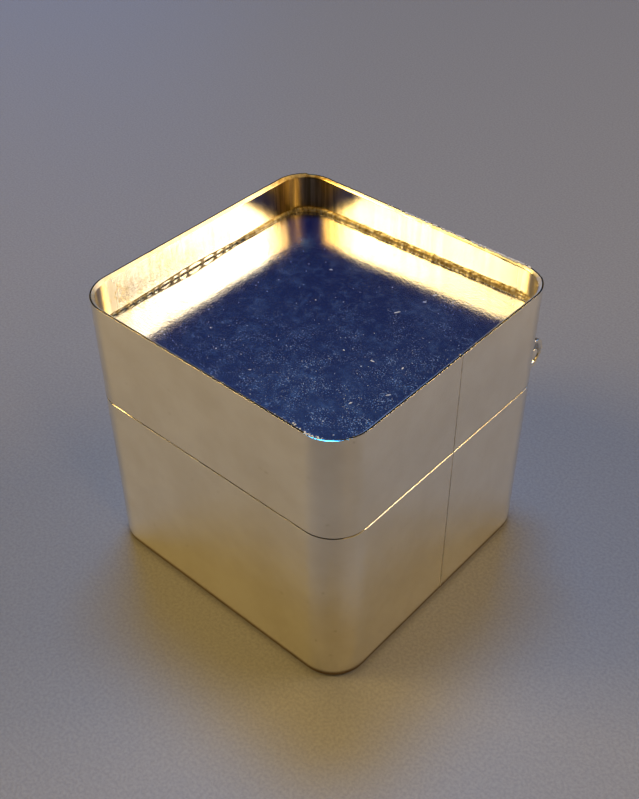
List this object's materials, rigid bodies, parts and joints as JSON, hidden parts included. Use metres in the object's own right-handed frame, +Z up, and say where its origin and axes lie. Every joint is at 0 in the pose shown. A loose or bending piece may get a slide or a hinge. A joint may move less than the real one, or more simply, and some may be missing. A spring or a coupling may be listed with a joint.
{
  "type": "rosin cake",
  "caption": "Cake of dark rosin cast into the sunken top of a small square sheet-metal box whose upper half opens on a rear barrel hinge over an inner liner.",
  "frame": {"origin": "middle of the flat underside of the base plate, where the box stands", "axes": "+Z up; +X towards the side with the butt seam; -Y towards the opening front, with the hinge along +Y"},
  "size_m": [0.04, 0.0433, 0.0386],
  "materials": {
    "outer_metal": "bright satin polish, warm silver, fine hairlines",
    "inner_metal": "satin, slightly warmer",
    "hinge_metal": "bright satin",
    "solder": "grey solder, slightly uneven",
    "rosin": "glossy dark blue cast resin with dust specks and hairline scratches",
    "amber_bead": "bubbly amber resin"
  },
  "bodies": {
    "base": {"base_plate": "outer_metal", "base_wall": "outer_metal", "base_wall_seam": "solder", "base_floor_fillet": "solder", "liner": "inner_metal", "liner_seam": "solder", "base_hinge_bearer": "hinge_metal", "base_knuckle_1": "hinge_metal", "base_knuckle_2": "hinge_metal", "base_knuckle_3": "hinge_metal", "hinge_pin": "hinge_metal"},
    "lid": {"lid_wall": "outer_metal", "lid_wall_seam": "solder", "tray_floor": "inner_metal", "tray_floor_fillet": "solder", "rosin_cake": "rosin", "rosin_edge_bead": "amber_bead", "lid_hinge_bearer": "hinge_metal", "lid_knuckle_1": "hinge_metal", "lid_knuckle_2": "hinge_metal"}
  },
  "joints": [
    {"name": "lid_hinge", "type": "hinge", "parent": "base", "child": "lid", "pos_m": [0, 0.02175, 0.0244], "axis": [-1, 0, 0], "range_deg": [0, 105]}
  ]
}
